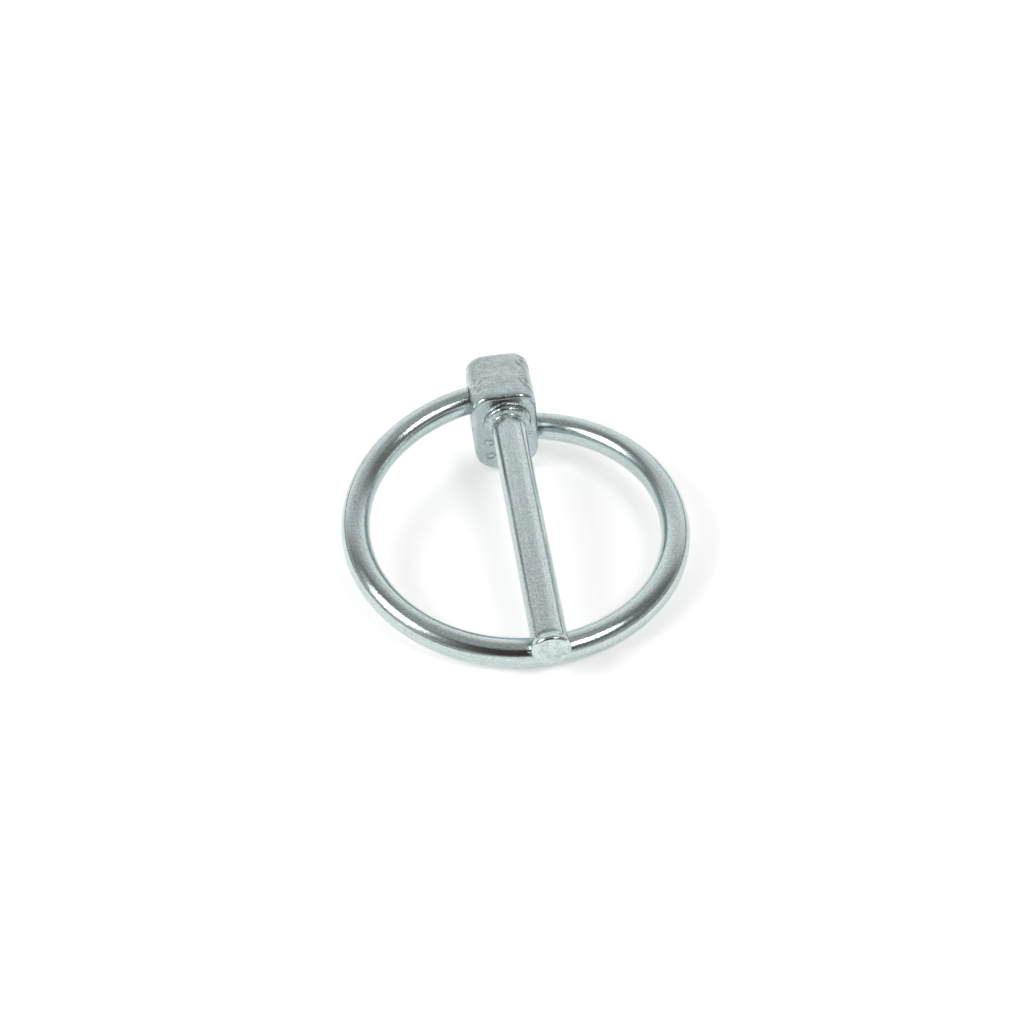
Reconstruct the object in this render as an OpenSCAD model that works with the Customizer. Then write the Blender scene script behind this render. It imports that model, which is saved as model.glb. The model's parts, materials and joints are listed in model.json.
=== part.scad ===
// Lynch pin with a sprung snap ring, lying closed on its side.
//
// The pin is one forging: a round shank that grows out of the upper part of a tall
// block head. The ring is one piece of round spring wire, wound as a short stretch of
// helix, so that its two ends reach the head at different heights. Both pieces are
// drawn in the pin's own axes (shank along -Y, head up) and laid down as the last step.

/* [Shank] */
// Diameter of the round shank
shank_d = 4.5; // [4:0.1:5.5]
// Length of the shank from the head's front face to its tip
shank_length = 39.5; // [39:0.5:46]
// Radius of the rounded rim at the tip
tip_rim_r = 0.5; // [0.2:0.1:1]
// Radius of the hollow fillet where the shank grows out of the head
neck_r = 1; // [0.5:0.05:1.2]

/* [Head] */
// Width of the head, between the two faces that the ring enters
head_w = 8.6; // [8.2:0.1:10]
// Depth of the head along the shank
head_d = 9; // [7:0.1:11]
// Height of the head
head_h = 14.2; // [13:0.1:17]
// Height of the head's top face above the middle of the shank
head_above_shank = 4.3; // [4:0.1:5]
// Distance that the head sits to the right of the shank's middle
head_shift = -0.2; // [-0.4:0.1:0.4]
// Radius of the long edges beside the top face
top_corner_r = 2.6; // [1:0.1:3]
// Radius of the long edges that round off the lower end
bottom_corner_r = 4; // [2:0.1:4.1]
// Radius of the upright edges at the front
front_edge_r = 0.8; // [0.5:0.1:2]
// Radius of all edges at the back
back_edge_r = 0.8; // [0.4:0.1:2]
// Radius of the top edge at the front
top_edge_r = 0.6; // [0.3:0.1:0.9]
// Radius of the bottom edge at the front
toe_edge_r = 1.6; // [0.5:0.1:2.5]

/* [Ring] */
// Diameter of the ring's round wire
wire_d = 3.7; // [3:0.1:4]
// Diameter of the ring, measured between the middles of the wire
ring_d = 41; // [39:0.5:44]
// Height that the wire climbs over a whole turn
ring_lift = 6.6; // [4.4:0.1:7]
// Distance that the ring is pushed to the right in its play
ring_shift = -1.1; // [-1.5:0.1:1.5]
// Depth that each end of the ring goes into the head
pivot_length = 2.9; // [1.5:0.1:3.5]

/* [Fits] */
// Gap all round each end of the ring in its hole
pivot_gap = 0.05; // [0.02:0.01:0.1]
// Gap between the head's side faces and the ring
side_gap = 0.05; // [0.02:0.01:0.2]
// Gap between the bottom of each hole and the end of the wire
hole_end_gap = 0.3; // [0.1:0.1:0.5]
// Gap between the tip of the shank and the closed ring
tip_gap = 0.02; // [0.01:0.01:0.1]

/* [Hidden] */
$fn = 96;

shank_r = shank_d / 2;
wire_r = wire_d / 2;
ring_r = ring_d / 2;
side_x = head_w / 2;
overlap = 1;  // how far pieces of one solid run into each other

// The ring turns about a line across the middle of the head.
pivot_y = head_d / 2;
pivot_z = head_above_shank - head_h / 2;

// The wire is four arcs, each a quarter turn or a little less. Their planes are twisted
// against each other so that the chain follows a helix: it crosses the front at the
// helix's slope, and reaches its height after a quarter, half and three quarters.
front_slope = asin(ring_lift / (PI * ring_d));
front_rise = ring_lift / 4 - ring_r * sin(front_slope);
front_twist = asin(front_rise / ring_r);
side_twist = asin((ring_lift / 2 - 2 * front_rise) / ring_r);
end_spread = abs(ring_shift) + abs(head_shift);  // most that either end is off centre
rear_turn = acos((side_x - end_spread) / ring_r) + 4;  // past the head, to be cut

// Closed, the front of the ring rests against the underside of the shank's tip.
front_z = -(shank_r + wire_r + tip_gap + ring_shift * sin(front_slope)) / cos(front_slope);
ring_reach = ring_r * (1 + cos(asin(side_x / ring_r)));
closing_angle = asin((pivot_z - front_z) / ring_reach);
front_y = pivot_y - ring_reach * cos(closing_angle);

// Lying down, the part touches the floor with its toe and the front of the ring. It
// leans over until the wire lies level at the front, and pitches until both touch.
toe_y = toe_edge_r;
toe_z = head_above_shank - head_h + toe_edge_r;
touch_y = toe_y - front_y;
touch_z = front_z - toe_z;
lie_lean = -front_slope;
lie_pitch = atan2(touch_z, touch_y)
    - asin((wire_r - toe_edge_r) / norm([touch_y, touch_z]));
rest_low = front_y * sin(lie_pitch) + front_z * cos(lie_pitch);
tip_reach = (shank_length - tip_rim_r) * cos(lie_pitch)
    + (shank_r - tip_rim_r) * sin(lie_pitch) + tip_rim_r;
heel_reach = (head_d - back_edge_r) * cos(lie_pitch)
    - (head_above_shank - head_h + back_edge_r) * sin(lie_pitch) + back_edge_r;
ring_mid = [
    ring_shift,
    front_y + ring_r * cos(closing_angle),
    front_z + ring_r * sin(closing_angle)
];

// Turns and shifts the pin's own axes so that the part lies on the floor, centred.
module lie_down() {
    mid_z = ring_mid[1] * sin(lie_pitch) + ring_mid[2] * cos(lie_pitch);
    translate([
        -ring_mid[0] * cos(lie_lean) - mid_z * sin(lie_lean),
        (tip_reach - heel_reach) / 2,
        wire_r - rest_low * cos(lie_lean) + ring_shift * sin(lie_lean)
    ])
        rotate([lie_pitch, lie_lean, 0])
            children();
}

// Rectangle from [0, 0] to size, with its own radius at each corner. The corners run
// from the origin anticlockwise.
module rounded_plate(size, radii) {
    corners = [[0, 0], [size[0], 0], size, [0, size[1]]];
    difference() {
        square(size);
        for (i = [0:3]) {
            inward = [i == 0 || i == 3 ? 1 : -1, i < 2 ? 1 : -1];
            translate(corners[i] + inward * radii[i])
                scale(-inward)
                    difference() {
                        square(radii[i] + overlap);
                        circle(radii[i]);
                    }
        }
    }
}

// The block, as the shape that its front, side and top outlines share
module head_block() {
    translate([head_shift - side_x, 0, head_above_shank - head_h])
        intersection() {
            translate([0, head_d, 0])
                rotate([90, 0, 0])
                    linear_extrude(head_d)
                        rounded_plate([head_w, head_h],
                            [bottom_corner_r, bottom_corner_r, top_corner_r, top_corner_r]);
            rotate([90, 0, 90])
                linear_extrude(head_w)
                    rounded_plate([head_d, head_h],
                        [toe_edge_r, back_edge_r, back_edge_r, top_edge_r]);
            linear_extrude(head_h)
                rounded_plate([head_w, head_d],
                    [front_edge_r, front_edge_r, back_edge_r, back_edge_r]);
        }
}

// Round shank with its rounded tip, and the hollow fillet at its root
module shank() {
    rotate([90, 0, 0])
        rotate_extrude() {
            translate([0, -overlap])
                square([shank_r, shank_length - tip_rim_r + overlap]);
            square([shank_r - tip_rim_r, shank_length]);
            translate([shank_r - tip_rim_r, shank_length - tip_rim_r])
                intersection() {
                    circle(tip_rim_r);
                    square(tip_rim_r);
                }
            translate([0, -overlap])
                difference() {
                    square([shank_r + neck_r, neck_r + overlap]);
                    translate([shank_r + neck_r, neck_r + overlap])
                        circle(neck_r);
                }
        }
}

// Blind hole for one end of the ring; side is -1 on the left and 1 on the right
module pivot_hole(side) {
    translate([head_shift + side * side_x, pivot_y, pivot_z])
        rotate([0, -90 * side, 0])
            translate([0, 0, -overlap])
                cylinder(r = wire_r + pivot_gap, h = pivot_length + hole_end_gap + overlap);
}

module pin() {
    color("silver")
        lie_down()
            difference() {
                union() {
                    head_block();
                    shank();
                }
                pivot_hole(-1);
                pivot_hole(1);
            }
}

// Stretch of round wire, bent about the origin, from [ring_r, 0] onwards
module wire_arc(turn) {
    rotate_extrude(angle = turn)
        translate([ring_r, 0])
            circle(wire_r);
}

// Right half of the ring, from the middle of its front to just inside the head
module ring_half() {
    rotate([-front_twist, 0, 0])
        translate([0, ring_r, 0])
            rotate(-90) {
                wire_arc(90);
                rotate(90)
                    translate([ring_r, 0, 0])
                        rotate([0, -side_twist, 0])
                            translate([-ring_r, 0, 0])
                                wire_arc(rear_turn);
            }
}

// Both halves, closed against the shank
module ring_wire() {
    translate([ring_shift, front_y, front_z])
        rotate([closing_angle, 0, 0])
            rotate([0, front_slope, 0]) {
                ring_half();
                rotate([0, 180, 0])
                    ring_half();
            }
}

module ring() {
    cut_x = side_x + side_gap;
    color("lightsteelblue")
        lie_down() {
            difference() {
                ring_wire();
                translate([head_shift - cut_x, 0, -head_h])
                    cube([2 * cut_x, 2 * head_d, 2 * head_h]);
            }
            for (side = [-1, 1])
                translate([head_shift + side * cut_x, pivot_y, pivot_z])
                    rotate([0, -90 * side, 0])
                        cylinder(r = wire_r, h = pivot_length + side_gap);
        }
}

pin();
ring();
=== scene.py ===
"""Looks of a lynch pin: a forged, zinc-plated pin and its snap ring of drawn wire.

Laid out as an add-on and run as a script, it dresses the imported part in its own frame.
Lengths in the tables below are millimetres in the pin's own axes, which have the shank
along -Y, the head's top at +Z and the hinge of the ring along X.
"""

import json
import math

import bmesh
import bpy
from bpy.props import FloatProperty, FloatVectorProperty, PointerProperty
from mathutils import Matrix, Vector


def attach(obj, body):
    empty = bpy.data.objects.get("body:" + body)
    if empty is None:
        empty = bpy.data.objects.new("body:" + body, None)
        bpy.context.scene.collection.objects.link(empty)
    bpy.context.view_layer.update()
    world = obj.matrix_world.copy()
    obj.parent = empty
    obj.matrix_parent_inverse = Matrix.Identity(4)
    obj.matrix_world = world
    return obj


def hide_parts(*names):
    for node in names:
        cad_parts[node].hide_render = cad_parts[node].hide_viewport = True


bl_info = {
    "name": "Lynch Pin",
    "version": (1, 0, 0),
    "blender": (4, 5, 0),
    "location": "View3D > Sidebar > Lynch Pin",
    "description": "Dresses a forged lynch pin and its snap ring in zinc plate",
    "category": "Mesh",
}

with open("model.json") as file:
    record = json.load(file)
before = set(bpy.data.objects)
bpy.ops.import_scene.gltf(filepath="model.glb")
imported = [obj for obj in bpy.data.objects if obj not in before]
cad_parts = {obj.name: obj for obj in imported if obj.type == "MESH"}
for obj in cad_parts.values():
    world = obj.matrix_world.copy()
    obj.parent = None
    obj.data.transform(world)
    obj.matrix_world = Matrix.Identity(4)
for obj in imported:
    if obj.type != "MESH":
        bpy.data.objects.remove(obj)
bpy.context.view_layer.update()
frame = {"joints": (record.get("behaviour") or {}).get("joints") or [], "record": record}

MM = 0.001
SHANK_MOUNT = frame["record"]["mounts"][0]
HINGE = frame["joints"][0]
# The ring's hinge, from where the middle of the shank meets the head.
PIVOT_FROM_ROOT = Vector((0, 4.5, -2.8))


# ---------------------------------------------------------------- the pin's own axes
def laid_down():
    """Matrix from the pin's own axes, in millimetres, to the frame the part lies in."""
    across = Vector(HINGE["axis"]).normalized()
    back = -Vector(SHANK_MOUNT["axis"]).normalized()
    turn = Matrix((across, back, across.cross(back))).transposed()
    root = Vector(HINGE["pos_m"]) - turn @ PIVOT_FROM_ROOT * MM
    return Matrix.Translation(root) @ turn.to_4x4() @ Matrix.Scale(MM, 4)


LAID = laid_down()


# ------------------------------------------------------------------------ properties
def length(name, text, default_mm):
    return FloatProperty(
        name=name, description=text, default=default_mm * MM, min=0, unit="LENGTH",
        precision=5,
    )


def colour(name, text, rgb):
    return FloatVectorProperty(
        name=name, description=text, default=rgb, size=3, min=0, max=1, subtype="COLOR"
    )


def factor(name, text, default):
    return FloatProperty(
        name=name, description=text, default=default, min=0, max=1, subtype="FACTOR"
    )


class LynchPinSizes(bpy.types.PropertyGroup):
    """Sizes of the dressed pin and ring"""

    shank_radius: length("Shank Radius", "Radius of the round shank",
                         SHANK_MOUNT["dims"]["r_mm"])
    shank_length: length("Shank Length", "From the head's front face to the tip", 39.5)
    tip_rim: length("Tip Rim", "Radius of the rounded rim at the tip", 0.5)
    neck: length("Neck", "Height and length of the bead where shank and head meet", 1.0)
    head_width: length("Head Width", "Across the faces that the ring enters", 8.6)
    head_depth: length("Head Depth", "Along the shank", 9.0)
    head_height: length("Head Height", "From the lower end to the top face", 14.2)
    head_above: length("Head Above Shank", "Top face above the shank's middle", 4.3)
    wire_radius: length("Wire Radius", "Radius of the ring's wire", 1.85)
    ring_radius: length("Ring Radius", "To the middle of the wire", 20.5)
    ring_lift: length("Ring Lift", "Climb of the wire over a whole turn", 6.6)


class LynchPinFinish(bpy.types.PropertyGroup):
    """Colours and gloss of the zinc plate"""

    zinc_light: colour("Light Zinc", "Plating at its cleanest", (0.66, 0.755, 0.75))
    zinc_dark: colour("Dark Zinc", "Plating in its darker grains", (0.41, 0.485, 0.49))
    # The stain colour also paints the shade over the neck and darkens the side faces
    # round the pivots.
    stain_and_shade: colour("Stain", "Dark brown in folds and specks", (0.15, 0.142, 0.132))
    forging_gloss: factor("Forging Roughness", "Roughness of the forged head", 0.32)
    shank_gloss: factor("Shank Roughness", "Roughness of the shank and neck", 0.15)
    wire_gloss: factor("Wire Roughness", "Roughness of the drawn wire", 0.15)


class LynchPinStudio(bpy.types.PropertyGroup):
    """Floor and lights"""

    floor: colour("Floor", "Pale floor under the pin", (0.93, 0.93, 0.925))
    floor_glow: FloatProperty(
        name="Floor Glow", description="Light that comes up through the floor",
        default=0.38, min=0, max=1)
    left_power: FloatProperty(
        name="Left Light", description="Power of the softbox on the left",
        default=3.4, min=0, unit="POWER")
    right_power: FloatProperty(
        name="Right Light", description="Power of the softbox on the right",
        default=2.25, min=0, unit="POWER")


# ------------------------------------------------------------------- modelling helpers
MERGE = 1e-4


def rotation(axis, degrees):
    return Matrix.Rotation(math.radians(degrees), 4, axis)


def deselect_all():
    if bpy.context.object and bpy.context.object.mode != "OBJECT":
        bpy.ops.object.mode_set(mode="OBJECT")
    bpy.ops.object.select_all(action="DESELECT")


def make_active(piece):
    deselect_all()
    piece.select_set(True)
    bpy.context.view_layer.objects.active = piece


def pick(piece, kind, test):
    """Selects the edges or vertices that pass the test, in edit mode."""
    make_active(piece)
    bpy.ops.object.mode_set(mode="EDIT")
    bpy.ops.mesh.select_mode(type=kind)
    mesh = bmesh.from_edit_mesh(piece.data)
    for element in (mesh.edges if kind == "EDGE" else mesh.verts):
        element.select_set(test(element))
    mesh.select_flush_mode()
    bmesh.update_edit_mesh(piece.data)


def apply_modifier(piece, kind, **settings):
    make_active(piece)
    bpy.ops.object.modifier_add(type=kind)
    modifier = piece.modifiers[-1]
    for key, value in settings.items():
        setattr(modifier, key, value)
    bpy.ops.object.modifier_apply(modifier=modifier.name)


def apply_placing():
    bpy.ops.object.transform_apply(location=True, rotation=True, scale=True)


def join(parts):
    """Joins the parts into the first one."""
    deselect_all()
    for part in parts:
        part.select_set(True)
    bpy.context.view_layer.objects.active = parts[0]
    bpy.ops.object.join()
    return bpy.context.object


def lay_down(piece):
    """Puts a piece modelled in the pin's own axes where the part lies."""
    make_active(piece)
    piece.matrix_world = LAID
    apply_placing()


def tidy_mesh(piece):
    """Merges doubles and turns the faces outwards."""
    make_active(piece)
    bpy.ops.object.mode_set(mode="EDIT")
    bpy.ops.mesh.select_all(action="SELECT")
    bpy.ops.mesh.remove_doubles(threshold=MERGE)
    bpy.ops.mesh.normals_make_consistent(inside=False)
    bpy.ops.object.mode_set(mode="OBJECT")


def fade(value, start, end):
    """0 at the start and 1 at the end, with soft ends."""
    t = min(1, max(0, (value - start) / (end - start)))
    return t * t * (3 - 2 * t)


# ------------------------------------------------------------------------ the forging
HEAD_SHIFT = -0.2
CORNER_TOP, CORNER_LOW = 2.6, 4.0
CORNER_TOP_STEPS, CORNER_LOW_STEPS = 12, 16
EDGE_TOP, EDGE_SIDE, EDGE_TOE, EDGE_BACK = 0.6, 0.8, 1.6, 0.8
EDGE_STEPS = 8
LEVEL = 1e-4
HOLE = {"radius": 1.95, "depth": 3.2, "rim": 0.25, "clear": 1.0}
TURNED_SIDES = 96
# The bead where shank and head meet: how deep in the head it starts, how much lower and
# longer than the neck it is, the radius of its front edge, and where it runs out as
# (forward, outward).
BEAD_START, BEAD_LOWER, BEAD_LONGER, BEAD_ROUND = 1.0, 0.1, 0.1, 0.7
BEAD_FOOT = ((0.08, 0.1), (0.3, 0.0))
# The band at the tip as (back, outward) from the shank's end, how far its crest stands
# out, and the dished end face as (back, inward) from the rim.
TIP_BAND = ((1.7, 0.0), (1.3, -0.06), (1.0, -0.02), (0.7, 0.12))
TIP_CREST = 0.18
TIP_DISH = ((0.1, 0.15), (0.04, 0.4))
VOXEL = 0.145
# Grain and depth of each kind of lump, and where it begins and is full: along Y, and
# outwards from the neck.
HEAD_LUMPS, HEAD_LUMPS_FROM = (1.5, 0.10), (-0.4, 0.3)
COLLAR_LUMPS = (0.95, 0.2)
COLLAR_FRONT, COLLAR_BACK, COLLAR_OUT = (-1.7, -1.0), (0.6, 0.1), (0.5, 0.1)


def turned(profile, name):
    """Closed round piece about Y, extruded and scaled along (y, radius)."""
    y, radius = profile[0]
    deselect_all()
    bpy.ops.mesh.primitive_circle_add(
        vertices=TURNED_SIDES, radius=radius, fill_type="NGON", location=(0, y, 0),
        rotation=(math.pi / 2, 0, 0))
    piece = bpy.context.object
    piece.name = name
    apply_placing()
    bpy.ops.object.mode_set(mode="EDIT")
    bpy.ops.mesh.select_all(action="SELECT")
    for (y0, r0), (y1, r1) in zip(profile, profile[1:]):
        step = {"value": (0, y1 - y0, 0)}
        bpy.ops.mesh.extrude_region_move(TRANSFORM_OT_translate=step)
        grow = r1 / r0
        bpy.ops.transform.resize(value=(grow, 1, grow), center_override=(0, y1, 0))
    bpy.ops.object.mode_set(mode="OBJECT")
    tidy_mesh(piece)
    return piece


def head_block(sizes):
    """The head: a block with round long edges and its own radius on each face edge."""
    width, depth, height = (
        v / MM for v in (sizes.head_width, sizes.head_depth, sizes.head_height))
    top = sizes.head_above / MM
    low = top - height
    deselect_all()
    bpy.ops.mesh.primitive_cube_add(
        size=1, location=(HEAD_SHIFT, depth / 2, top - height / 2),
        scale=(width, depth, height))
    block = bpy.context.object
    block.name = "pin_forging"
    apply_placing()

    def along_y(level):
        return lambda edge: (abs(edge.verts[0].co.y - edge.verts[1].co.y) > depth / 2
                             and all(abs(v.co.z - level) < LEVEL for v in edge.verts))

    for level, radius, steps in ((top, CORNER_TOP, CORNER_TOP_STEPS),
                                 (low, CORNER_LOW, CORNER_LOW_STEPS)):
        pick(block, "EDGE", along_y(level))
        bpy.ops.mesh.bevel(offset=radius, segments=steps, profile=0.5)
        bpy.ops.object.mode_set(mode="OBJECT")

    def edge_radius(place):
        if place.y > depth / 2:
            return EDGE_BACK
        if place.z > top - CORNER_TOP:
            t = (place.z - top + CORNER_TOP) / CORNER_TOP
            return EDGE_SIDE + (EDGE_TOP - EDGE_SIDE) * t * t
        t = max(0, (low + CORNER_LOW - place.z) / CORNER_LOW)
        return EDGE_SIDE + (EDGE_TOE - EDGE_SIDE) * t * t

    mesh = block.data
    weights = mesh.attributes.new("bevel_weight_edge", "FLOAT", "EDGE")
    for edge in mesh.edges:
        a, b = (mesh.vertices[i].co for i in edge.vertices)
        if abs(a.y - b.y) < LEVEL:
            weights.data[edge.index].value = edge_radius((a + b) / 2) / EDGE_TOE
    apply_modifier(block, "BEVEL", limit_method="WEIGHT", width=EDGE_TOE,
                   segments=EDGE_STEPS, use_clamp_overlap=False)
    return block


def pivot_hole(side, sizes):
    """Cutter for the blind hole on one side, a little countersunk at the face."""
    hole, depth, rim, clear = HOLE.values()
    cutter = turned(((clear, hole + rim + clear), (0, hole + rim), (-rim, hole),
                     (-depth, hole)), "hole_cutter")
    face = HEAD_SHIFT + side * sizes.head_width / MM / 2
    cutter.data.transform(
        Matrix.Translation((face, PIVOT_FROM_ROOT.y, PIVOT_FROM_ROOT.z))
        @ rotation("Z", -90 * side))
    return cutter


def rounded(front, crest, radius, step):
    """Quarter round from the crest to the front, as (y, radius) every step degrees."""
    for angle in range(0, 91, step):
        a = math.radians(angle)
        yield front + radius * (1 - math.sin(a)), crest - radius * (1 - math.cos(a))


def shank_profile(sizes):
    """(y, radius) from inside the head, over the bead and the band at the tip."""
    shank, neck, rim = (
        v / MM for v in (sizes.shank_radius, sizes.neck, sizes.tip_rim))
    tip = -sizes.shank_length / MM
    bead = shank + neck - BEAD_LOWER
    front = -neck - BEAD_LONGER
    crest = shank + TIP_CREST
    return [
        (BEAD_START, bead),
        *rounded(front, bead, BEAD_ROUND, 10),
        *((front - forward, shank + out) for forward, out in BEAD_FOOT),
        *((tip + back, shank + out) for back, out in TIP_BAND),
        *rounded(tip, crest, rim, 15),
        *((tip + back, crest - rim - inward) for back, inward in TIP_DISH),
    ]


def roughen(piece, name, grain, depth, weight):
    """Displaces the surface by a cloud pattern, as much as weight gives at a place."""
    group = piece.vertex_groups.new(name=name)
    for v in piece.data.vertices:
        amount = weight(v.co)
        if amount > 0:
            group.add([v.index], amount, "REPLACE")
    texture = bpy.data.textures.new(name, "CLOUDS")
    texture.noise_scale = grain
    texture.noise_depth = 2
    apply_modifier(piece, "DISPLACE", texture=texture, strength=depth, mid_level=0.5,
                   texture_coords="LOCAL", vertex_group=name)


def make_forging(sizes):
    """The head and the shank as one skin, lumpy on the head and round the neck."""
    block = head_block(sizes)
    for side in (-1, 1):
        cutter = pivot_hole(side, sizes)
        apply_modifier(block, "BOOLEAN", operation="DIFFERENCE", object=cutter)
        bpy.data.objects.remove(cutter)
    piece = join((block, turned(shank_profile(sizes), "shank")))
    piece.data.remesh_voxel_size = VOXEL
    bpy.ops.object.voxel_remesh()
    bpy.ops.object.mode_set(mode="EDIT")
    bpy.ops.mesh.select_all(action="SELECT")
    bpy.ops.mesh.vertices_smooth(factor=0.5, repeat=2)
    bpy.ops.object.mode_set(mode="OBJECT")
    reach = (sizes.shank_radius + sizes.neck) / MM
    collar_out = [reach + out for out in COLLAR_OUT]

    def on_head(p):
        return fade(p.y, *HEAD_LUMPS_FROM)

    def on_collar(p):
        return (fade(p.y, *COLLAR_FRONT) * fade(p.y, *COLLAR_BACK)
                * fade(math.hypot(p.x, p.z), *collar_out))

    roughen(piece, "head_lumps", *HEAD_LUMPS, on_head)
    roughen(piece, "collar_lumps", *COLLAR_LUMPS, on_collar)
    tidy_mesh(piece)
    return piece


# --------------------------------------------------------------------------- the ring
WIRE_SIDES = 48
WIRE_GAP = 0.02
SIDE_GAP = 0.05
RING_SHIFT = -1.1
QUARTER_TURN = 90
REAR_SPARE = 4
ARC_STEPS = 100
HEAD_END_FROM_Y = -8
PIVOT_DEPTH = 2.9


def ring_plan(sizes):
    """Where the closed ring's front is, and how its four arcs are twisted."""
    r = sizes.ring_radius / MM
    lift = sizes.ring_lift / MM
    slope = math.asin(lift / (2 * math.pi * r))
    rise = lift / 4 - r * math.sin(slope)
    twist_front = math.degrees(math.asin(rise / r))
    twist_side = math.degrees(math.asin((lift / 2 - 2 * rise) / r))
    wire, shank = sizes.wire_radius / MM, sizes.shank_radius / MM
    front_z = -(shank + wire + WIRE_GAP
                + RING_SHIFT * math.sin(slope)) / math.cos(slope)
    half = sizes.head_width / MM / 2
    reach = r * (1 + math.cos(math.asin(half / r)))
    closing = math.asin((PIVOT_FROM_ROOT.z - front_z) / reach)
    front = Vector((RING_SHIFT, PIVOT_FROM_ROOT.y - reach * math.cos(closing), front_z))
    base = (Matrix.Translation(front) @ rotation("X", math.degrees(closing))
            @ rotation("Y", math.degrees(slope)))
    spread = abs(RING_SHIFT) + abs(HEAD_SHIFT)
    rear = math.degrees(math.acos((half - spread) / r)) + REAR_SPARE
    return base, r, twist_front, twist_side, rear


def wind_half(sizes, flip):
    """Spins half of the ring out of a circle of wire, from its front to the head."""
    base, r, twist_front, twist_side, rear = ring_plan(sizes)
    half = base @ rotation("Y", 180 if flip else 0) @ rotation("X", -twist_front)
    deselect_all()
    bpy.ops.mesh.primitive_circle_add(
        vertices=WIRE_SIDES, radius=sizes.wire_radius / MM, location=(0, 0, 0))
    piece = bpy.context.object
    piece.data.transform(half @ rotation("Y", 90))
    middle = half @ Matrix.Translation((0, r, 0))
    twist = math.radians(twist_side)
    arcs = (
        (middle.translation, middle.to_3x3() @ Vector((0, 0, 1)), QUARTER_TURN),
        (middle @ Vector((r - r * math.cos(twist), 0, -r * math.sin(twist))),
         middle.to_3x3() @ Vector((-math.sin(twist), 0, math.cos(twist))), rear),
    )
    bpy.ops.object.mode_set(mode="EDIT")
    bpy.ops.mesh.select_all(action="SELECT")
    for centre, axis, angle in arcs:
        # with no window open, spin turns clockwise about its axis
        bpy.ops.mesh.spin(steps=ARC_STEPS, angle=-math.radians(angle),
                          center=centre, axis=axis)
    bpy.ops.object.mode_set(mode="OBJECT")
    return piece


def cut_flush(piece, side, sizes):
    """Cuts the wire's end level with the head's side face."""
    cut_x = HEAD_SHIFT + side * (sizes.head_width / MM / 2 + SIDE_GAP)
    pick(piece, "VERT", lambda v: v.co.y > HEAD_END_FROM_Y)
    bpy.ops.mesh.bisect(plane_co=(cut_x, 0, 0), plane_no=(-side, 0, 0),
                        use_fill=True, clear_outer=True)
    bpy.ops.object.mode_set(mode="OBJECT")


def make_pivot(side, sizes):
    """The ring's end on one side, which turns in the head's blind hole."""
    from_middle = sizes.head_width / MM / 2 - PIVOT_DEPTH / 2 + SIDE_GAP / 2
    deselect_all()
    bpy.ops.mesh.primitive_cylinder_add(
        vertices=WIRE_SIDES, radius=sizes.wire_radius / MM,
        depth=PIVOT_DEPTH + SIDE_GAP, rotation=(0, math.pi / 2, 0),
        location=(HEAD_SHIFT + side * from_middle,
                  PIVOT_FROM_ROOT.y, PIVOT_FROM_ROOT.z))
    apply_placing()
    return bpy.context.object


def make_ring(sizes):
    """The wire from its two halves and the pivots at its ends."""
    parts = []
    for flip, side in ((False, 1), (True, -1)):
        half = wind_half(sizes, flip)
        cut_flush(half, side, sizes)
        parts.append(half)
    parts += [make_pivot(side, sizes) for side in (-1, 1)]
    piece = join(parts)
    piece.name = "ring_wire"
    tidy_mesh(piece)
    return piece


# ---------------------------------------------------------------------- shader helpers
class Nodes:
    """Short calls that add and link shader nodes in one tree"""

    def __init__(self, tree):
        self.tree = tree
        tree.nodes.clear()

    def add(self, kind, inputs=None, **settings):
        node = self.tree.nodes.new(kind)
        for key, value in settings.items():
            setattr(node, key, value)
        for key, value in (inputs or {}).items():
            socket = node.inputs[key]
            if isinstance(value, bpy.types.NodeSocket):
                self.tree.links.new(value, socket)
            else:
                socket.default_value = value
        return node

    def math(self, operation, *values):
        return self.add("ShaderNodeMath", dict(enumerate(values)),
                        operation=operation).outputs[0]

    def vector(self, operation, *values):
        """Vector and value that the operation gives."""
        return self.add("ShaderNodeVectorMath", dict(enumerate(values)),
                        operation=operation).outputs

    def split(self, vector):
        return self.add("ShaderNodeSeparateXYZ", {"Vector": vector}).outputs

    def gather(self, **axes):
        return self.add("ShaderNodeCombineXYZ", axes).outputs[0]

    def noise(self, vector, scale, detail, rough=0.5, distortion=0.0):
        return self.add("ShaderNodeTexNoise", {
            "Vector": vector, "Scale": scale, "Detail": detail, "Roughness": rough,
            "Distortion": distortion}).outputs

    def remap(self, value, low, high, to_low=0.0, to_high=1.0, smooth=False):
        return self.add("ShaderNodeMapRange", {
            "Value": value, "From Min": low, "From Max": high,
            "To Min": to_low, "To Max": to_high},
            interpolation_type="SMOOTHSTEP" if smooth else "LINEAR").outputs[0]

    def band(self, value, ends):
        """Mask that begins at the first end and is full at the second."""
        return self.remap(value, *ends, smooth=True)

    def colour(self, fac, a, b):
        """Colour between a and b."""
        return self.add("ShaderNodeMix", {0: fac, 6: a, 7: b},
                        data_type="RGBA").outputs[2]

    def blend(self, fac, a, b):
        """Number between a and b."""
        return self.add("ShaderNodeMix", {0: fac, 2: a, 3: b},
                        data_type="FLOAT").outputs[0]

    def chain(self, operation, values):
        """One number from many, two at a time."""
        total, *others = values
        for value in others:
            total = self.math(operation, total, value)
        return total

    def shares(self, masks, recipe):
        """The masks that the recipe names, each times its weight there."""
        return [self.math("MULTIPLY", masks[name], weight)
                for name, weight in recipe.items()]


def rgba(colour):
    return (*colour, 1.0)


def axes_of(n, matrix):
    """Position in millimetres along the axes that the matrix lays down."""
    place, turn, size = matrix.decompose()
    mapping = n.add("ShaderNodeMapping", {
        "Vector": n.add("ShaderNodeTexCoord").outputs["Object"], "Location": place,
        "Rotation": turn.to_euler(), "Scale": size}, vector_type="TEXTURE")
    return mapping.outputs[0]


def new_material(name):
    material = bpy.data.materials.new(name)
    material.use_nodes = True
    return material, Nodes(material.node_tree)


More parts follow.
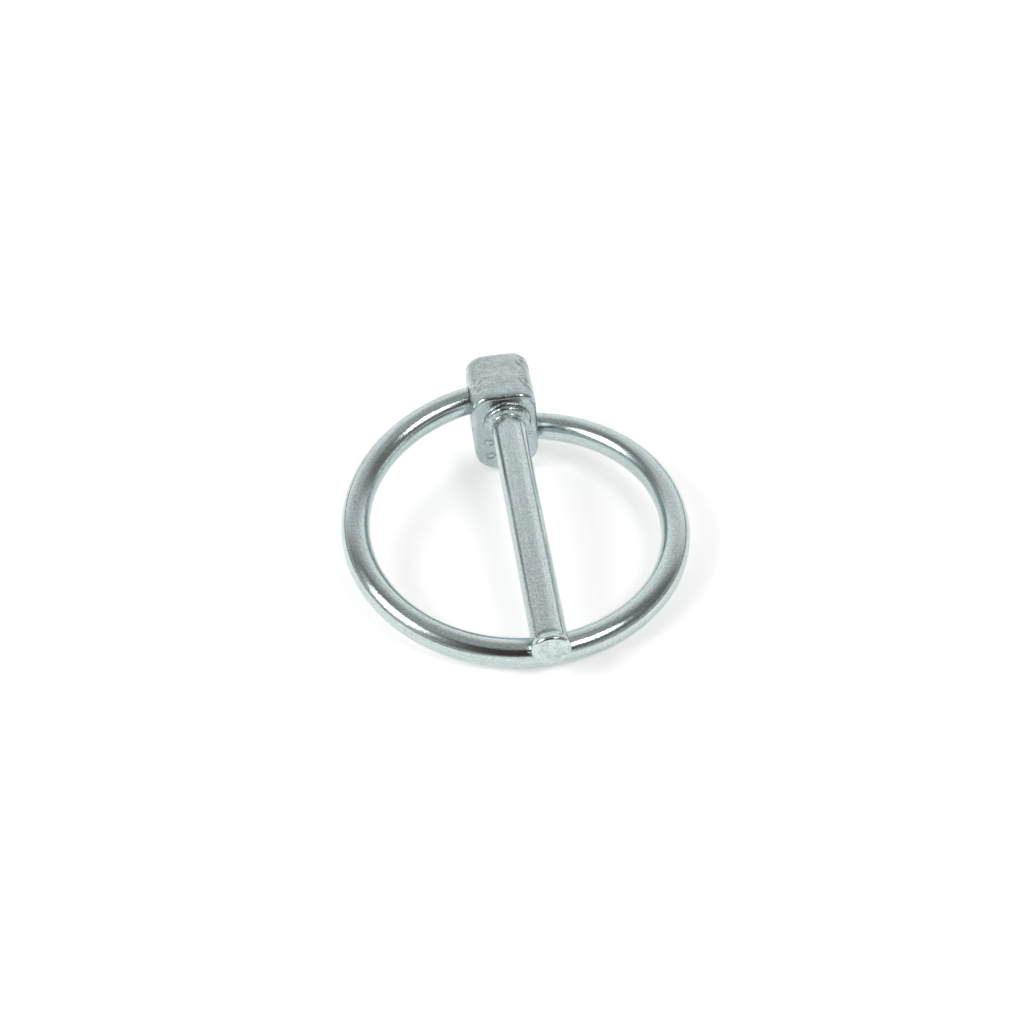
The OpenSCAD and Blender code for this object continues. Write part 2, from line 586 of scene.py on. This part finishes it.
def node_group(name, outputs):
    """Empty shader node group that takes a position and gives masks."""
    tree = bpy.data.node_groups.new(name, "ShaderNodeTree")
    sockets = tree.interface
    sockets.new_socket("Position", in_out="INPUT", socket_type="NodeSocketVector")
    for output in outputs:
        sockets.new_socket(output, in_out="OUTPUT", socket_type="NodeSocketFloat")
    n = Nodes(tree)
    return tree, n, n.add("NodeGroupInput").outputs["Position"]


# ------------------------------------------------------------- what both platings share
# Scale, detail, roughness and distortion of each noise, and the part of it that counts.
GRAIN_NOISE, GRAIN_RANGE = (4.4, 2.0, 0.7), (0.40, 0.60)
BLOTCH_NOISE, BLOTCH_RANGE = (0.9, 4.0, 0.65, 0.6), (0.34, 0.66)
# Cells to the millimetre, the cells that have a speck, and a speck's soft edge.
SPECK_SCALE, SPECK_CHOSEN, SPECK_EDGE = 0.55, (0.6, 0.62), (0.075, 0.045)
# How much the axes are squeezed, the noise and its share: fine lines and broad ones.
LINES = (((3.4, 0.16, 3.4), (1.0, 4.0, 0.6), 0.6),
         ((1.1, 0.05, 1.1), (1.0, 2.0, 0.5), 0.4))
LINES_RANGE = (0.38, 0.62)


def plating_grain():
    """Crystals of the plating: a fine grain, soft blotches and a few dark specks."""
    if "plating_grain" in bpy.data.node_groups:
        return bpy.data.node_groups["plating_grain"]
    tree, n, here = node_group("plating_grain", ("Grain", "Blotch", "Speck"))
    cells = n.add("ShaderNodeTexVoronoi", {
        "Vector": here, "Scale": SPECK_SCALE, "Randomness": 1.0}).outputs
    lot = n.add("ShaderNodeSeparateColor", {"Color": cells["Color"]}).outputs[0]
    n.add("NodeGroupOutput", {
        "Grain": n.remap(n.noise(here, *GRAIN_NOISE)["Fac"], *GRAIN_RANGE),
        "Blotch": n.remap(n.noise(here, *BLOTCH_NOISE)["Fac"], *BLOTCH_RANGE),
        "Speck": n.math("MULTIPLY", n.remap(lot, *SPECK_CHOSEN),
                        n.band(cells["Distance"], SPECK_EDGE))})
    return tree


def draw_lines():
    """Fine lines that drawing leaves along Y."""
    if "draw_lines" in bpy.data.node_groups:
        return bpy.data.node_groups["draw_lines"]
    tree, n, here = node_group("draw_lines", ("Lines",))
    layers = []
    for squeeze, noise, share in LINES:
        squeezed = n.add("ShaderNodeMapping", {"Vector": here, "Scale": squeeze})
        layer = n.noise(squeezed.outputs[0], *noise)["Fac"]
        layers.append(n.math("MULTIPLY", layer, share))
    n.add("NodeGroupOutput", {"Lines": n.remap(n.chain("ADD", layers), *LINES_RANGE)})
    return tree


def plating_masks(n, here, straight):
    """Masks of the plating, with its lines along Y of the straightened position."""
    grain = n.add("ShaderNodeGroup", {"Position": here}, node_tree=plating_grain())
    lines = n.add("ShaderNodeGroup", {"Position": straight}, node_tree=draw_lines())
    return {output.name.lower(): output for output in (*grain.outputs, *lines.outputs)}


def zinc_shader(n, finish, tone, stain_and_shade, gloss, height):
    """Metal shader for both materials: gloss is (roughness, how far the tone moves it)
    and height is (what stands up, how many millimetres)."""
    base = n.colour(tone, rgba(finish.zinc_dark), rgba(finish.zinc_light))
    base = n.colour(stain_and_shade, base, rgba(finish.stain_and_shade))
    roughness, spread = gloss
    relief, depth_mm = height
    bump = n.add("ShaderNodeBump", {"Height": relief, "Distance": depth_mm * MM,
                                    "Strength": 1.0})
    shader = n.add("ShaderNodeBsdfPrincipled", {
        "Base Color": base, "Metallic": 1.0,
        "Roughness": n.math("ADD", roughness, n.remap(tone, 0, 1, spread, -spread)),
        "Normal": bump.outputs[0]})
    n.add("ShaderNodeOutputMaterial", {"Surface": shader.outputs[0]})


# ----------------------------------------------------------- the plating on the forging
# Every pair of lengths says where a mask begins and where it is full.
SHANK_FROM, FRONT_FROM, FACE_SHADE_FROM = (-0.7, -1.5), (0.9, 0.2), (2.5, 0.2)
TIP_FROM = (0.5, 0.2)
# The painted shade over the neck, a dark band under the head's top edge: off the axis,
# up, forward and across.
NECK_SHADE_OUTER, NECK_SHADE_INNER = (4.9, 4.3), (3.1, 3.4)
NECK_SHADE_UP, NECK_SHADE_FORWARD, NECK_SHADE_ACROSS = (2.0, 3.3), (0.35, 0.05), (2.4, 1.6)
CORNER_BESIDE, CORNER_UP, CORNER_BACK = (1.7, 3.0), (1.2, 2.6), (0.9, 2.2)
FOLD_SQUEEZE, FOLD_NOISE = (0.35, 0.8, 0.35), (1.0, 3.0, 0.6, 1.5)
FOLD_RANGE = (0.5, 0.36)
# Where the side faces darken round the pivots: beside the middle, and from the pivot.
PIVOT_DARK_BESIDE, PIVOT_DARK_FROM_PIVOT = (3.9, 4.2), (5.0, 2.6)
# The die's ring marks as (x, z, radius), their line, and how they are worn and bent.
FACE_MARKS = ((-2.75, -3.7, 0.5), (-2.6, -6.2, 0.55), (2.95, -2.6, 0.25))
MARK_LINE = (0.22, 0.02)
MARK_WEAR_NOISE, MARK_WEAR_RANGE = (0.9, 1.0), (0.30, 0.5)
MARK_BEND_NOISE, MARK_BEND = (1.2, 2.0), 0.9
# How much of each mask goes into the tones, into the stain and painted shade, and into
# the relief.
# The face's negative share darkens the head's front face in tone: painted shade.
HEAD_TONE = {"grain": 0.5, "blotch": 0.5, "face": -0.4}
SHANK_TONE = {"lines": 0.35, "grain": 0.65}
TIP_TONE = {"blotch": 0.9, "grain": 0.3}
# The neck shade's share of the stain colour is painted shade.
STAIN_AND_SHADE_SHARES = {"speck": 1.0, "folds": 0.6, "pivot_dark": 0.35, "hollow": 0.75, "marks": 0.35}
GRAIN_RELIEF, SHANK_LINES_RELIEF = (0.5, 0.3), 0.2
FOLDS_RELIEF, MARKS_RELIEF = -3.4, -9.0
FORGING_SPREAD, FORGING_DEPTH = 0.05, 0.014


def press_marks(n, here):
    """Mask of the ring-shaped marks that the die left on the front face."""
    worn = n.band(n.noise(here, *MARK_WEAR_NOISE)["Fac"], MARK_WEAR_RANGE)
    bend = n.vector("SUBTRACT", n.noise(here, *MARK_BEND_NOISE)["Color"],
                    (0.5, 0.5, 0.5))[0]
    here = n.vector("MULTIPLY_ADD", bend, (MARK_BEND, MARK_BEND, MARK_BEND), here)[0]
    rings = []
    for x, z, radius in FACE_MARKS:
        away = n.vector("DISTANCE", here, (x, 0, z))["Value"]
        off_ring = n.math("ABSOLUTE", n.math("SUBTRACT", away, radius))
        rings.append(n.band(off_ring, MARK_LINE))
    return n.math("MULTIPLY", n.chain("ADD", rings), worn)


def corner_folds(n, here, beside):
    """Mask of the folds over the head's upper corners."""
    _, y, z = n.split(here)
    squeezed = n.add("ShaderNodeMapping", {"Vector": here, "Scale": FOLD_SQUEEZE})
    return n.chain("MULTIPLY", (
        n.band(beside, CORNER_BESIDE), n.band(z, CORNER_UP), n.band(y, CORNER_BACK),
        n.band(n.noise(squeezed.outputs[0], *FOLD_NOISE)["Fac"], FOLD_RANGE)))


def neck_hollow(n, here):
    """Mask of the painted shade over the neck: a dark band on the head's front face
    under its top edge.
    """
    x, y, z = n.split(here)
    off_axis = n.vector("LENGTH", n.gather(X=x, Z=z))["Value"]
    return n.chain("MULTIPLY", (
        n.band(off_axis, NECK_SHADE_OUTER), n.band(off_axis, NECK_SHADE_INNER),
        n.band(z, NECK_SHADE_UP), n.band(y, NECK_SHADE_FORWARD),
        n.band(n.math("ABSOLUTE", x), NECK_SHADE_ACROSS)))


def pivot_side_darkening(n, here, beside):
    """Mask that darkens the side faces round the ring's pivots."""
    _, y, z = n.split(here)
    from_pivot = n.vector("DISTANCE", n.gather(Y=y, Z=z), PIVOT_FROM_ROOT)["Value"]
    return n.math("MULTIPLY", n.band(beside, PIVOT_DARK_BESIDE),
                  n.band(from_pivot, PIVOT_DARK_FROM_PIVOT))


def forged_zinc(finish, sizes):
    """Plating on the forging: blotchy on the head, with lines along the shank, and
    painted shade on the front face and over the neck.
    """
    material, n = new_material("forged_zinc")
    here = axes_of(n, LAID)
    x, y, _ = n.split(here)
    tip = -sizes.shank_length / MM
    on_shank, on_front = n.band(y, SHANK_FROM), n.band(y, FRONT_FROM)
    on_tip = n.band(y, [tip + back for back in TIP_FROM])
    beside = n.math("ABSOLUTE", n.math("SUBTRACT", x, HEAD_SHIFT))
    masks = plating_masks(n, here, here)
    # Mask of the head's front face, whose tone is darkened as painted shade.
    masks["face"] = n.band(y, FACE_SHADE_FROM)
    masks["marks"] = n.math("MULTIPLY", on_front, press_marks(n, here))
    masks["folds"] = corner_folds(n, here, beside)
    # The dark band over the neck is painted shade.
    masks["hollow"] = neck_hollow(n, here)
    masks["pivot_dark"] = pivot_side_darkening(n, here, beside)
    head, shank, end = (n.chain("ADD", n.shares(masks, recipe))
                        for recipe in (HEAD_TONE, SHANK_TONE, TIP_TONE))
    tone = n.blend(on_tip, n.blend(on_shank, head, shank), end)
    # Folds, specks and marks are real stains; the neck shade in it is painted shade.
    stain_and_shade = n.chain("MAXIMUM", n.shares(masks, STAIN_AND_SHADE_SHARES))
    gloss = n.blend(on_front, finish.forging_gloss, finish.shank_gloss)
    relief = n.chain("ADD", n.shares(masks, {
        "grain": n.remap(on_shank, 0, 1, *GRAIN_RELIEF),
        "lines": n.math("MULTIPLY", on_shank, SHANK_LINES_RELIEF),
        "blotch": n.math("SUBTRACT", 1.0, on_shank),
        "folds": FOLDS_RELIEF, "marks": MARKS_RELIEF}))
    zinc_shader(n, finish, tone, stain_and_shade, (gloss, FORGING_SPREAD),
                (relief, FORGING_DEPTH))
    return material


# -------------------------------------------------------------- the plating on the wire
WIRE_TONE = {"grain": 0.45, "lines": 0.4, "blotch": 0.15}
WIRE_RELIEF = {"grain": 1.2, "lines": 0.2}
WIRE_SPREAD, WIRE_DEPTH = 0.04, 0.003


def along_wire(n, ring_base, radius):
    """Positions about the ring's middle: as they are, and with the wire straightened
    into outwards, along it and up."""
    here = axes_of(n, LAID @ ring_base @ Matrix.Translation((0, radius, 0)))
    x, y, z = n.split(here)
    angle = n.math("ARCTAN2", x, n.math("MULTIPLY", y, -1.0))
    out = n.vector("LENGTH", n.gather(X=x, Y=y))["Value"]
    straight = n.gather(X=n.math("SUBTRACT", out, radius),
                        Y=n.math("MULTIPLY", angle, radius), Z=z)
    return here, straight


def drawn_zinc(finish, sizes):
    """Brighter plating on the drawn wire, with its lines running round the ring."""
    material, n = new_material("drawn_zinc")
    base, radius = ring_plan(sizes)[:2]
    masks = plating_masks(n, *along_wire(n, base, radius))
    tone = n.chain("ADD", n.shares(masks, WIRE_TONE))
    relief = n.chain("ADD", n.shares(masks, WIRE_RELIEF))
    zinc_shader(n, finish, tone, masks["speck"], (finish.wire_gloss, WIRE_SPREAD),
                (relief, WIRE_DEPTH))
    return material


# -------------------------------------------------------------------------- the studio
CAMERA_AT = Vector((-20.671, -162.880, 148.688))
CAMERA_LOOKS_AT = Vector((0.461, 7.437, 0.0))
CAMERA_ROLL = -0.641
CAMERA_LENS = 59.766
SOFTBOXES = {
    "left_softbox": {"way": (-0.781, -0.166, 0.602), "size": (0.37, 0.44)},
    "right_softbox": {"way": (0.414, -0.427, 0.804), "size": (0.35, 0.30)},
}
SOFTBOX_DISTANCE = 0.95
FLOOR_SIZE, FLOOR_ROUGHNESS = 3.0, 0.9
# The room's tones, and between which parts of x, y and z of the way looked in each
# darker or brighter stretch of it begins and is full.
ROOM_WHITE, OVERHEAD_LOSS, OVERHEAD_POWER = 1.08, 0.68, 4.0
DARK_TONE, MIDDLE_TONE = (0.21, 0.205, 0.20), (0.065, 0.045, 0.042)
DARK_ABOVE, DARK_BELOW = (0.1, 0.35), (0.98, 0.89)
DARK_FORWARD, DARK_LEAN = (0.6, 0.1), 0.3
MIDDLE_AT, MIDDLE_ACROSS, MIDDLE_FORWARD = -0.02, (0.6, 0.15), (-0.1, -0.45)
SKIRTING_TONE, SKIRTING_AMOUNT, SKIRTING_AT = (0.06, 0.06, 0.06), 0.95, 0.09
SKIRTING_HEIGHT, SKIRTING_ACROSS = (0.1, 0.03), (0.25, 0.6)
HALO_TONE, HALO_AMOUNT, HALO_TOWARD = (1.2, 1.2, 1.2), 0.35, (0.84, 0.97)


def put_in_scene(name, data, place, way, roll=0):
    """Adds a camera or a lamp at a place, turned to look along a way."""
    thing = bpy.data.objects.new(name, data)
    bpy.context.scene.collection.objects.link(thing)
    turn = way.to_track_quat("-Z", "Y").to_matrix().to_4x4() @ rotation("Z", roll)
    thing.matrix_world = Matrix.Translation(place) @ turn
    return thing


def add_camera():
    data = bpy.data.cameras.new("camera")
    data.lens = CAMERA_LENS
    data.sensor_width = 36
    data.clip_start = 0.01
    way = (CAMERA_LOOKS_AT - CAMERA_AT).normalized()
    bpy.context.scene.camera = put_in_scene(
        "camera", data, CAMERA_AT * MM, way, CAMERA_ROLL)


def softbox_way(name):
    return Vector(SOFTBOXES[name]["way"]).normalized()


def add_softbox(name, power):
    data = bpy.data.lights.new(name, "AREA")
    data.shape = "RECTANGLE"
    data.size, data.size_y = SOFTBOXES[name]["size"]
    data.energy = power
    way = softbox_way(name)
    put_in_scene(name, data, way * SOFTBOX_DISTANCE, -way)


def add_world():
    """A room that is white behind the pin, grey overhead and dark behind the camera,
    with a dark skirting at its sides and a halo round the left softbox."""
    world = bpy.data.worlds.new("studio_room")
    bpy.context.scene.world = world
    world.use_nodes = True
    n = Nodes(world.node_tree)
    way = n.add("ShaderNodeTexCoord").outputs["Generated"]
    x, y, z = n.split(way)
    overhead = n.math("POWER", n.math("MAXIMUM", z, 0.0), OVERHEAD_POWER)
    white = n.math("SUBTRACT", ROOM_WHITE, n.math("MULTIPLY", overhead, OVERHEAD_LOSS))
    lean = n.math("MULTIPLY", n.math("MINIMUM", x, 0.0), DARK_LEAN)
    dark = n.chain("MULTIPLY", (n.band(z, DARK_ABOVE), n.band(z, DARK_BELOW),
                                n.band(n.math("ADD", y, lean), DARK_FORWARD)))
    off_middle = n.math("ABSOLUTE", n.math("SUBTRACT", x, MIDDLE_AT))
    middle = n.math("MULTIPLY", n.band(off_middle, MIDDLE_ACROSS),
                    n.band(y, MIDDLE_FORWARD))
    tone = n.colour(dark, white, n.colour(middle, rgba(DARK_TONE), rgba(MIDDLE_TONE)))
    off_skirting = n.math("ABSOLUTE", n.math("SUBTRACT", z, SKIRTING_AT))
    skirting = n.chain("MULTIPLY", (
        n.band(off_skirting, SKIRTING_HEIGHT),
        n.band(n.math("ABSOLUTE", x), SKIRTING_ACROSS), SKIRTING_AMOUNT))
    tone = n.colour(skirting, tone, rgba(SKIRTING_TONE))
    toward = n.vector("DOT_PRODUCT", way, softbox_way("left_softbox"))["Value"]
    halo = n.math("MULTIPLY", n.band(toward, HALO_TOWARD), HALO_AMOUNT)
    tone = n.colour(halo, tone, rgba(HALO_TONE))
    shade = n.add("ShaderNodeBackground", {"Color": tone, "Strength": 1.0})
    n.add("ShaderNodeOutputWorld", {"Surface": shade.outputs[0]})


def add_floor(studio):
    deselect_all()
    bpy.ops.mesh.primitive_plane_add(size=FLOOR_SIZE, location=(0, 0, 0))
    floor = bpy.context.object
    floor.name = "studio_floor"
    apply_placing()
    material, n = new_material("studio_floor")
    shader = n.add("ShaderNodeBsdfPrincipled", {
        "Base Color": rgba(studio.floor), "Roughness": FLOOR_ROUGHNESS,
        "Emission Color": rgba(studio.floor), "Emission Strength": studio.floor_glow})
    n.add("ShaderNodeOutputMaterial", {"Surface": shader.outputs[0]})
    floor.data.materials.append(material)


# --------------------------------------------------------------------------- operators
SMOOTH_BELOW = math.radians(40)


class LYNCHPIN_OT_forge_pin(bpy.types.Operator):
    """Model the pin: shank, neck and head in one forging"""

    bl_idname = "lynchpin.forge_pin"
    bl_label = "Forge Pin"

    def execute(self, context):
        scene = context.scene
        piece = make_forging(scene.lynch_pin_sizes)
        lay_down(piece)
        bpy.ops.object.shade_smooth()
        piece.data.materials.append(
            forged_zinc(scene.lynch_pin_finish, scene.lynch_pin_sizes))
        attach(piece, "pin")
        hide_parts("pin")
        return {"FINISHED"}


class LYNCHPIN_OT_wind_ring(bpy.types.Operator):
    """Wind the snap ring out of round wire"""

    bl_idname = "lynchpin.wind_ring"
    bl_label = "Wind Ring"

    def execute(self, context):
        scene = context.scene
        piece = make_ring(scene.lynch_pin_sizes)
        lay_down(piece)
        bpy.ops.object.shade_smooth_by_angle(angle=SMOOTH_BELOW)
        piece.data.materials.append(
            drawn_zinc(scene.lynch_pin_finish, scene.lynch_pin_sizes))
        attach(piece, "ring")
        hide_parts("ring")
        return {"FINISHED"}


class LYNCHPIN_OT_build_studio(bpy.types.Operator):
    """Set up the floor, the softboxes, the room and the camera"""

    bl_idname = "lynchpin.build_studio"
    bl_label = "Build Studio"

    def execute(self, context):
        studio = context.scene.lynch_pin_studio
        add_floor(studio)
        add_world()
        add_softbox("left_softbox", studio.left_power)
        add_softbox("right_softbox", studio.right_power)
        add_camera()
        context.scene.view_settings.view_transform = "Standard"
        return {"FINISHED"}


class LYNCHPIN_PT_panel(bpy.types.Panel):
    """Sizes, finish and steps of the lynch pin"""

    bl_label = "Lynch Pin"
    bl_idname = "LYNCHPIN_PT_panel"
    bl_space_type = "VIEW_3D"
    bl_region_type = "UI"
    bl_category = "Lynch Pin"

    def draw(self, context):
        scene = context.scene
        for group in (scene.lynch_pin_sizes, scene.lynch_pin_finish,
                      scene.lynch_pin_studio):
            box = self.layout.box()
            for name in group.bl_rna.properties.keys():
                if name not in ("rna_type", "name"):
                    box.prop(group, name)
        for operator in OPERATORS:
            self.layout.operator(operator.bl_idname)


GROUPS = {
    "lynch_pin_sizes": LynchPinSizes,
    "lynch_pin_finish": LynchPinFinish,
    "lynch_pin_studio": LynchPinStudio,
}
OPERATORS = (LYNCHPIN_OT_build_studio, LYNCHPIN_OT_forge_pin, LYNCHPIN_OT_wind_ring)
CLASSES = (*GROUPS.values(), *OPERATORS, LYNCHPIN_PT_panel)


def register():
    for cls in CLASSES:
        bpy.utils.register_class(cls)
    for name, group in GROUPS.items():
        setattr(bpy.types.Scene, name, PointerProperty(type=group))


def unregister():
    for name in GROUPS:
        delattr(bpy.types.Scene, name)
    for cls in reversed(CLASSES):
        bpy.utils.unregister_class(cls)


def main():
    register()
    bpy.ops.lynchpin.build_studio()
    bpy.ops.lynchpin.forge_pin()
    bpy.ops.lynchpin.wind_ring()


if __name__ == "__main__":
    main()
